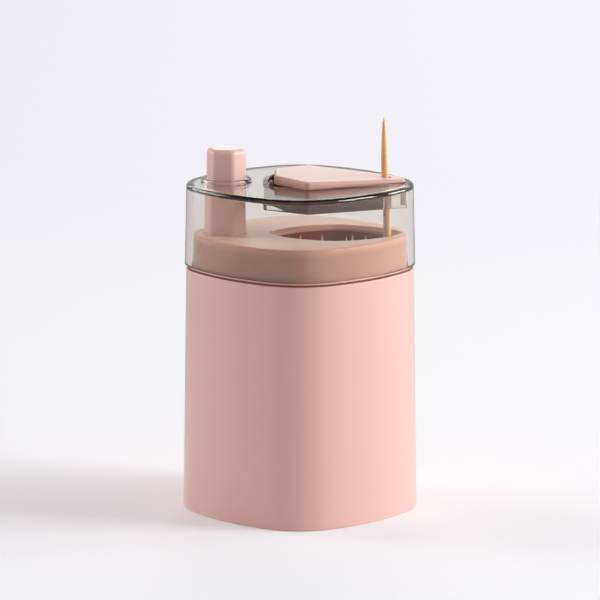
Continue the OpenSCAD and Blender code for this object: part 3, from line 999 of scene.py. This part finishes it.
def pressColumn():
    s = columnShape
    skin = Skin()

    def level(z, inset=0.0, more=0.0):
        share = (z - s["foot"]) / (s["top"] - s["foot"])
        reach = s["footReach"] + (s["topReach"] - s["footReach"]) * share + more
        reach -= inset / math.cos(math.radians(30))
        radius = s["cornerRound"] + inset * s["topRounder"]
        return skin.ring(hexagon(reach, columnX, radius, columnTurn), z)

    low, high = s["collar"]
    wider = s["collarReach"] - s["footReach"]
    bevel = s["bevel"]
    rings = [level(s["foot"], bevel), level(s["foot"] + bevel), level(low - 0.01), level(low, 0, wider),
             level(high - bevel, 0, wider), level(high, bevel, wider), level(high + 0.01)]
    edge = s["edge"]
    hold = 0.12              # a ring this far before and after the rounded edge
    rings.append(level(s["top"] - edge - hold))
    steps = 8
    for i in range(steps + 1):
        a = math.pi / 2 * i / steps
        rings.append(level(s["top"] - edge * (1 - math.sin(a)), edge * (1 - math.cos(a))))
    rings.append(level(s["top"], edge + hold))
    skin.wall(*rings)
    skin.cap(rings[-1])
    around = circle(s["bore"], columnX, 0, s["boreSides"])
    bore = [skin.ring(around, z) for z in (s["foot"], s["boreTop"])]
    skin.wall(*bore)
    skin.cap(bore[-1])
    skin.cap(rings[0], bore[0])
    return skin.piece("pressColumn", 32)


column = pressColumn()
placed(column, buttonLitPlastic, "press", "pink_plastic", "press_button")
print("column made")


# the return spring under the column

springShape = {
    "radius": 3.75,
    "wire": 0.35,
    "low": 48.0,
    "high": 66.0,
    "turns": 6,
    "perTurn": 36,
    "sides": 12,
    "pressed": 0.511,        # share of its length that is left when the column is down
}


def springCoil():
    # a wire whose first and last turns lie flat
    s = springShape
    wire = s["wire"]
    last = s["turns"] - 1
    pitch = (s["high"] - s["low"] - 6 * wire) / (s["turns"] - 2)
    skin = Skin()
    rings = []
    for i in range(s["turns"] * s["perTurn"] + 1):
        turn = i / s["perTurn"]
        if turn < 1:
            height = s["low"] + wire + 2 * wire * turn
        elif turn > last:
            height = s["high"] - wire - 2 * wire * (s["turns"] - turn)
        else:
            height = s["low"] + 3 * wire + pitch * (turn - 1)
        a = 2 * math.pi * turn
        section = []
        for j in range(s["sides"]):
            b = 2 * math.pi * j / s["sides"]
            reach = s["radius"] + wire * math.cos(b)
            section.append((columnX + reach * math.cos(a), reach * math.sin(a), height + wire * math.sin(b)))
        rings.append(skin.loop(section))
    skin.closed(rings)
    return skin.piece("springCoil", 50)


spring = springCoil()
placed(spring, screwSteel, "body", "steel", "return_spring")
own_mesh(spring)
print("spring made")


# the flap over the well

flapShape = {
    "left": -7.2,
    "leftHalf": 6.2,
    "leftRound": 1.0,
    "vertex": 2.0,
    "half": 16.0,
    "tip": 29.3,
    "tipHalf": 2.7,
    "tipRound": 1.9,
    "cornerRound": 1.8,
    "holeX": 24.3,           # the raised pick passes here, and a fine slit runs on to the tip
    "holeRadius": 1.35,
    "slitHalf": 0.07,
    "under": 92.55,
    "high": 95.3,
    "low": 93.6,
    "topRound": 0.95,
    "underRound": 1.3,
    "topLean": 0.8,          # how far each rolled edge runs inwards, by its height
    "underLean": 0.7,
    "topShare": 0.48,        # the most that it takes of the plate's thickness
    "underShare": 0.42,
}


def flapTop(x, y=0.0):
    # the top face slopes down to the tip
    s = flapShape
    share = (x - s["left"]) / (s["tip"] - s["left"])
    return s["high"] + (s["low"] - s["high"]) * max(0, min(1, share))


def flapPlate():
    s = flapShape
    r = s["cornerRound"]
    slit = s["slitHalf"]
    around = roundedPath([
        (s["tip"], slit, 0), (s["tip"], s["tipHalf"], s["tipRound"]), (s["vertex"], s["half"], r),
        (s["left"], s["leftHalf"], s["leftRound"]), (s["left"], -s["leftHalf"], s["leftRound"]),
        (s["vertex"], -s["half"], r), (s["tip"], -s["tipHalf"], s["tipRound"]), (s["tip"], -slit, 0)],
        steps=8)
    hole = []
    holeSteps = 28
    half = math.asin(slit / s["holeRadius"])
    for i in range(holeSteps + 1):
        a = -half - (2 * math.pi - 2 * half) * i / holeSteps
        hole.append((s["holeX"] + s["holeRadius"] * math.cos(a), s["holeRadius"] * math.sin(a)))
    loop = around + hole

    def drawn(distance):
        # the outline moved inwards, but not the hole and the slit
        moved = grown(loop, -distance)
        last = len(around) - 1
        moved[0] = (s["tip"] - distance, slit)
        moved[last] = (s["tip"] - distance, -slit)
        return moved[:last + 1] + hole

    # both edges roll over; near the tip the plate is thin, so the rolls are smaller there
    skin = Skin()
    under = s["underRound"]
    above = s["topRound"]
    hold = 0.1               # a ring this far inside each roll
    rings = [skin.ring(drawn(under * s["underLean"] + hold), s["under"])]
    steps = 6
    for i in range(steps + 1):
        a = math.pi / 2 * i / steps

        def low(x, y, a=a):
            thick = flapTop(x) - s["under"]
            return s["under"] + min(under, s["underShare"] * thick) * (1 - math.cos(a))
        rings.append(skin.ring(drawn(under * s["underLean"] * (1 - math.sin(a))), low))
    steps = 7
    for i in range(steps + 1):
        a = math.pi / 2 * i / steps

        def high(x, y, a=a):
            thick = flapTop(x) - s["under"]
            return flapTop(x) - min(above, s["topShare"] * thick) * (1 - math.sin(a))
        rings.append(skin.ring(drawn(above * s["topLean"] * (1 - math.cos(a))), high))
    rings.append(skin.ring(drawn(above * s["topLean"] + hold), flapTop))
    skin.closed(rings)
    return skin.piece("flapPlate", 32)


def flapKnuckle():
    # its left half is lower, to miss the lid when the flap is open
    h = hingeShape
    left = h["knuckleLeft"]
    right = h["knuckleRight"]
    underLeft, underRight = h["knuckleUnder"]
    lowRound, highRound = h["knuckleRounds"]
    corners = [
        (left, h["z"] - underLeft, lowRound), (right, h["z"] - underRight, 0.1),
        (right, h["knuckleTop"], 0.1), (h["x"] + 0.15, h["knuckleTop"], 0.1),
        (h["x"] + 0.05, h["knuckleStep"], 0.05), (left, h["knuckleStep"], highRound)]
    return sideProfile("flapKnuckle", corners, -h["knuckle"], h["knuckle"])


placed(flapPlate(), flapShadedPlastic, "flap", "pink_plastic", "flap")
# painted shade: the knuckle takes the liner's dark colour, for pink plastic in shade
placed(flapKnuckle(), linerShadePlastic, "flap", "pink_plastic")
print("flap made")


# picks

pickShape = {
    "length": 64.96,
    "radius": 1.0,
    "point": 0.2,            # radius near each tip, and less at the very end
    "pointEnd": 0.4,
    "taper": [               # height on the pick, and share of the radius there
        (1.6, 0.50), (3.5, 0.79), (4.8, 0.93), (6, 1), (12, 1), (30, 1), (46, 1), (52, 1),
        (54, 0.975), (57, 0.86), (60, 0.68), (62.5, 0.50)],
    "sides": 20,
    "levels": 49,
    "seed": 7,
    "foot": 11.1,
    "crossed": 0.6,          # how much higher a pick stands that lies across the others
}
raisedShape = {"x": 24.65, "foot": 45.7, "lean": 1.15, "sides": 32}      # leans left, in degrees
pickPlaces = [               # where each foot stands, and where its tip leans to
    (0.6, 2, 0.1, 5.2), (4.8, 3.4, 6.6, 7), (10, 0.5, 12.9, 2.2), (12.6, -0.1, 14.7, 9),
    (15.2, -1.7, 18.3, 6.6), (0.2, -3.4, 0.6, -4.4), (2, -0.8, 2.4, -1.4), (1.9, -5.8, 2.8, -6.4),
    (3.9, -2.9, 5, -3.4), (4.4, -7.8, 4.8, -9), (6.2, -5.2, 7.6, -5.4), (6.4, -1.6, 8, -1.4),
    (8.3, -8.1, 9, -8.8), (8.9, -4.2, 10.2, -4), (11, -6.3, 12, -7), (11.6, -2.9, 13.2, -2.6),
    (14, -4.5, 15.6, -4.6)]


def pickProfile():
    # height and radius up one pick, pointed at both ends
    length = pickShape["length"]
    point = pickShape["point"]
    end = point * pickShape["pointEnd"]
    taper = [(height, share * pickShape["radius"]) for height, share in pickShape["taper"]]
    return [(0, end), (0.08, point), *taper, (length - 0.1, point), (length, end)]


def geometryTree(name, sizes):
    # an empty Geometry Nodes tree with named inputs: {name: (kind, value)}
    tree = bpy.data.node_groups.new(name, "GeometryNodeTree")
    tree.interface.new_socket("Geometry", in_out="INPUT", socket_type="NodeSocketGeometry")
    found = {}
    for label, (kind, value) in sizes.items():
        socket = tree.interface.new_socket(label, in_out="INPUT", socket_type="NodeSocket" + kind)
        if value is not None:
            socket.default_value = value
        found[label] = socket.identifier
    tree.interface.new_socket("Geometry", in_out="OUTPUT", socket_type="NodeSocketGeometry")
    return tree, Board(tree), found


def pickTree():
    sizes = {"Length": ("Float", pickShape["length"] * mm), "Radius": ("Float", pickShape["radius"] * mm),
             "Sides": ("Int", pickShape["sides"]), "Seed": ("Int", pickShape["seed"]),
             "Material": ("Material", None)}
    tree, board, found = geometryTree("picksStanding", sizes)
    given = board.add("NodeGroupInput")
    length = given.out("Length")
    line = board.add("GeometryNodeCurvePrimitiveLine", None, {"End": board.add(
        "ShaderNodeCombineXYZ", None, {"Z": length})})
    fine = board.add("GeometryNodeResampleCurve", None, {"Curve": line, "Count": pickShape["levels"]})
    share = board.add("GeometryNodeSplineParameter", output="Factor")
    curve = board.add("ShaderNodeFloatCurve", None, {"Value": share})
    lane = curve.socket.node.mapping.curves[0]
    profile = pickProfile()
    while len(lane.points) < len(profile):
        lane.points.new(0.5, 0.5)
    for spot, (height, radius) in zip(lane.points, profile):
        spot.location = (height / pickShape["length"], radius / pickShape["radius"])
        spot.handle_type = "VECTOR"
    curve.socket.node.mapping.update()
    ring = board.add("GeometryNodeCurvePrimitiveCircle", None,
                     {"Resolution": given.out("Sides"), "Radius": given.out("Radius")})
    one = board.add("GeometryNodeCurveToMesh", None,
                    {"Curve": fine, "Profile Curve": ring, "Scale": curve, "Fill Caps": True})
    lean = board.add("GeometryNodeInputNamedAttribute", {"data_type": "FLOAT_VECTOR"}, {"Name": "lean"})
    aimed = board.add("FunctionNodeAlignRotationToVector", {"axis": "Z"}, {"Vector": lean})
    spun = board.add("FunctionNodeRandomValue", {"data_type": "FLOAT"},
                     {"Min": 0.0, "Max": 6.28, "Seed": given.out("Seed")})
    turned = board.add("FunctionNodeRotateRotation", {"rotation_space": "LOCAL"}, {
        "Rotation": aimed, "Rotate By": board.add("FunctionNodeEulerToRotation", None, {
            "Euler": board.add("ShaderNodeCombineXYZ", None, {"Z": spun})})})
    stood = board.add("GeometryNodeInstanceOnPoints", None, {
        "Points": given.out("Geometry"), "Instance": one, "Rotation": turned})
    real = board.add("GeometryNodeRealizeInstances", None, {"Geometry": stood})
    smooth = board.add("GeometryNodeSetShadeSmooth", None, {"Geometry": real, "Shade Smooth": True})
    done = board.add("GeometryNodeSetMaterial", None,
                     {"Geometry": smooth, "Material": given.out("Material")})
    board.add("NodeGroupOutput", None, {"Geometry": done})
    return tree, found


def grownByNodes(name, points, tree, values, vectors=None):
    # a plain mesh from a Geometry Nodes tree run on loose points; vectors is {attribute: values}
    mesh = bpy.data.meshes.new(name + "Points")
    mesh.from_pydata(points, [], [])
    for label, given in (vectors or {}).items():
        attribute = mesh.attributes.new(label, "FLOAT_VECTOR", "POINT")
        attribute.data.foreach_set("vector", [c for v in given for c in v])
    carrier = linked(name + "Points", mesh)
    modifier = carrier.modifiers.new("grow", "NODES")
    modifier.node_group = tree
    for identifier, value in values.items():
        modifier[identifier] = value
    graph = bpy.context.evaluated_depsgraph_get()
    result = bpy.data.meshes.new_from_object(carrier.evaluated_get(graph))
    carrier.modifiers.remove(modifier)
    bpy.data.objects.remove(carrier)
    result.name = name
    return linked(name, result)


def leanOf(foot, tip):
    dx = tip[0] - foot[0]
    dy = tip[1] - foot[1]
    rise = math.sqrt(pickShape["length"] ** 2 - dx * dx - dy * dy)
    return Vector((dx, dy, rise)).normalized()


picksTree, picksInputs = pickTree()
feet = []
for x, y, tx, ty in pickPlaces:
    crossed = ty > 0
    feet.append((x * mm, y * mm, (pickShape["foot"] + crossed * pickShape["crossed"]) * mm))
leans = [tuple(leanOf((x, y), (tx, ty))) for x, y, tx, ty in pickPlaces]
picks = grownByNodes("picks", feet, picksTree, {picksInputs["Material"]: birch}, {"lean": leans})
placed(picks, birch, "body", "birch", "picks")

lean = math.radians(raisedShape["lean"])
raisedFoot = (raisedShape["x"] * mm, 0, raisedShape["foot"] * mm)
raised = grownByNodes("raisedPick", [raisedFoot], picksTree,
                      {picksInputs["Material"]: birch, picksInputs["Sides"]: raisedShape["sides"]},
                      {"lean": [(-math.sin(lean), 0, math.cos(lean))]})
placed(raised, birch, "raised_pick", "birch", "raised_pick")
print("picks made")


# finishes of the nodes that stay as they are

nodeFinish = {
    pinkPlastic: ["base_plate"],
    # painted shade: the hopper takes the funnel's dark colour
    funnelShadePlastic: ["hopper"],
    milkyPlastic: ["chassis", "rocker", "lifter", "press_stem"],
    screwSteel: ["base_screws", "hopper_screws", "chassis_screws", "spring_seat", "pivot_clips",
                 "guide_bush"],
    drawnSteel: ["pivot_pin", "press_pin", "lift_pins", "stem_pin"],
    darkSteel: ["flap_pin"],
}
for material, names in nodeFinish.items():
    for name in names:
        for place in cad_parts[name].material_slots:
            place.material = material
print("nodes finished")


# floor, light and camera

studio = {                   # lengths in metres
    "seen": linear(241, 240, 246),       # how the room shows behind the object
    "floor": (0.865, 0.822, 0.840, 1.0),
    "floorSize": 12.0,
    "glow": 0.21,                        # lifts the lit floor to the colour it is seen in
    "drift": 0.20,                       # the floor gets paler to the right, per metre
    "litReach": (0.14, 0.55),            # beyond this the floor is plain
    # light from the room, by sine of elevation: on plain surfaces, and in mirrors
    "fill": [(0.0, 0.54), (1.0, 0.30)],
    "sheen": [(0.0, 0.75), (0.12, 0.60), (0.23, 0.62), (0.42, 0.50), (0.70, 0.15), (0.95, 0.10)],
    # through clear plastic the wall is pale up to the horizon, and the ceiling dark
    "throughClear": 1.03,
    "ceiling": 0.015,
    "horizon": (0.16, 0.34),
    # in a mirror the floor is pale up to nearFloor, and beyond it varies from left to right
    "nearFloor": (0.10, 0.32),
    "farFloor": [(0.0, 0.35), (0.2, 0.35), (0.42, 0.12), (0.60, 0.12), (0.90, 0.60)],
    "farWidth": 0.72,
    "lampFar": 3.0,
    "lampAim": 0.045,
}
lamps = {                    # azimuth from the front to the right, in degrees
    "keyLamp": {"watts": 61.5, "size": 1.25, "azimuth": 82, "elevation": 24, "tint": (0.88, 1.0, 1.0)},
    "lowLamp": {"watts": 28, "size": 0.8, "azimuth": 112, "elevation": 9, "tint": (0.88, 1.0, 1.0)},
    "sideLamp": {"watts": 34, "size": 1.6, "azimuth": -112, "elevation": 18},
    "backLamp": {"watts": 12, "size": 1.2, "azimuth": 178, "elevation": 29},
}
view = {
    "sensor": 36,            # millimetres, as is the lens
    "lens": 283.5,
    "place": (0, -1.3023, 0.3066),
    "tilt": 79.23,           # degrees up from straight down
    "near": 0.05,
    "far": 30,
}


def greyStops(levels):
    return [(at, grey(level)) for at, level in levels]


def studioFloor():
    mesh = bpy.data.meshes.new("studioFloor")
    half = studio["floorSize"] / 2
    corners = [(-half, -half, 0), (half, -half, 0), (half, half, 0), (-half, half, 0)]
    mesh.from_pydata(corners, [], [(0, 1, 2, 3)])
    floor = linked("studioFloor", mesh)
    material, board = newMaterial("studioFloor")
    path = board.add("ShaderNodeLightPath")
    direct = path.out("Is Camera Ray") + path.out("Is Transmission Ray")
    mirror = path.out("Is Glossy Ray") * (1 - path.out("Is Transmission Ray"))
    place = board.add("ShaderNodeTexCoord", output="Object")
    across = board.add("ShaderNodeSeparateXYZ", None, {"Vector": place}, output="X")
    lit = board.add("ShaderNodeBsdfDiffuse", None, {"Color": studio["floor"]})
    lift = board.add("ShaderNodeEmission", None, {
        "Color": studio["seen"], "Strength": direct * (studio["glow"] + across * studio["drift"])})
    near = board.add("ShaderNodeAddShader", None, {0: lit, 1: lift})
    far = board.add("ShaderNodeVectorMath", {"operation": "LENGTH"}, {0: place}, output="Value")
    plain = board.add("ShaderNodeEmission", None, {
        "Color": studio["seen"], "Strength": across * studio["drift"] + 1.0})
    away = direct * board.rise(far, *studio["litReach"])
    seen = board.add("ShaderNodeMixShader", None, {0: away, 1: near, 2: plain})
    share = across / studio["farWidth"] + 0.5
    beyond = board.ramp(greyStops(studio["farFloor"]), share)
    reflected = board.mixed(board.rise(far, *studio["nearFloor"]), studio["seen"], beyond)
    mirrored = board.add("ShaderNodeEmission", None, {"Color": reflected, "Strength": 1.0})
    shown(board, board.add("ShaderNodeMixShader", None, {0: mirror, 1: seen, 2: mirrored}))
    mesh.materials.append(material)


def studioWorld():
    world = bpy.data.worlds.new("studio")
    world.use_nodes = True
    world.node_tree.nodes.clear()
    board = Board(world.node_tree)
    path = board.add("ShaderNodeLightPath")
    place = board.add("ShaderNodeTexCoord", output="Generated")
    height = board.add("ShaderNodeSeparateXYZ", None, {"Vector": place}, output="Z")
    up = board.rise(height, *studio["horizon"])
    clear = board.mixed(up, grey(studio["throughClear"]), grey(studio["ceiling"]))
    fill = board.ramp(greyStops(studio["fill"]), height)
    sheen = board.ramp(greyStops(studio["sheen"]), height)
    colour = board.mixed(path.out("Is Glossy Ray"), fill, sheen)
    colour = board.mixed(path.out("Is Transmission Ray"), colour, clear)
    colour = board.mixed(path.out("Is Camera Ray"), colour, studio["seen"])
    sky = board.add("ShaderNodeBackground", None, {"Color": colour, "Strength": 1.0})
    board.add("ShaderNodeOutputWorld", None, {"Surface": sky})
    bpy.context.scene.world = world


def softLamp(name, look):
    light = bpy.data.lights.new(name, "AREA")
    light.shape = "SQUARE"
    light.size = look["size"]
    light.energy = look["watts"]
    light.color = look.get("tint", (1.0, 1.0, 1.0))
    lamp = linked(name, light)
    a = math.radians(look["azimuth"])
    e = math.radians(look["elevation"])
    away = Vector((math.sin(a) * math.cos(e), -math.cos(a) * math.cos(e), math.sin(e)))
    lamp.location = Vector((0, 0, studio["lampAim"])) + away * studio["lampFar"]
    lamp.rotation_euler = (-away).to_track_quat("-Z", "Y").to_euler()
    lamp.visible_camera = False
    lamp.visible_transmission = False


def photoCamera():
    data = bpy.data.cameras.new("camera")
    data.sensor_width = view["sensor"]
    data.lens = view["lens"]
    data.clip_start = view["near"]
    data.clip_end = view["far"]
    camera = linked("camera", data)
    camera.location = view["place"]
    camera.rotation_euler = (math.radians(view["tilt"]), 0, 0)
    bpy.context.scene.camera = camera


studioFloor()
studioWorld()
for name, look in lamps.items():
    softLamp(name, look)
photoCamera()
bpy.context.scene.view_settings.view_transform = "Standard"
print("studio made")

bpy.context.view_layer.update()
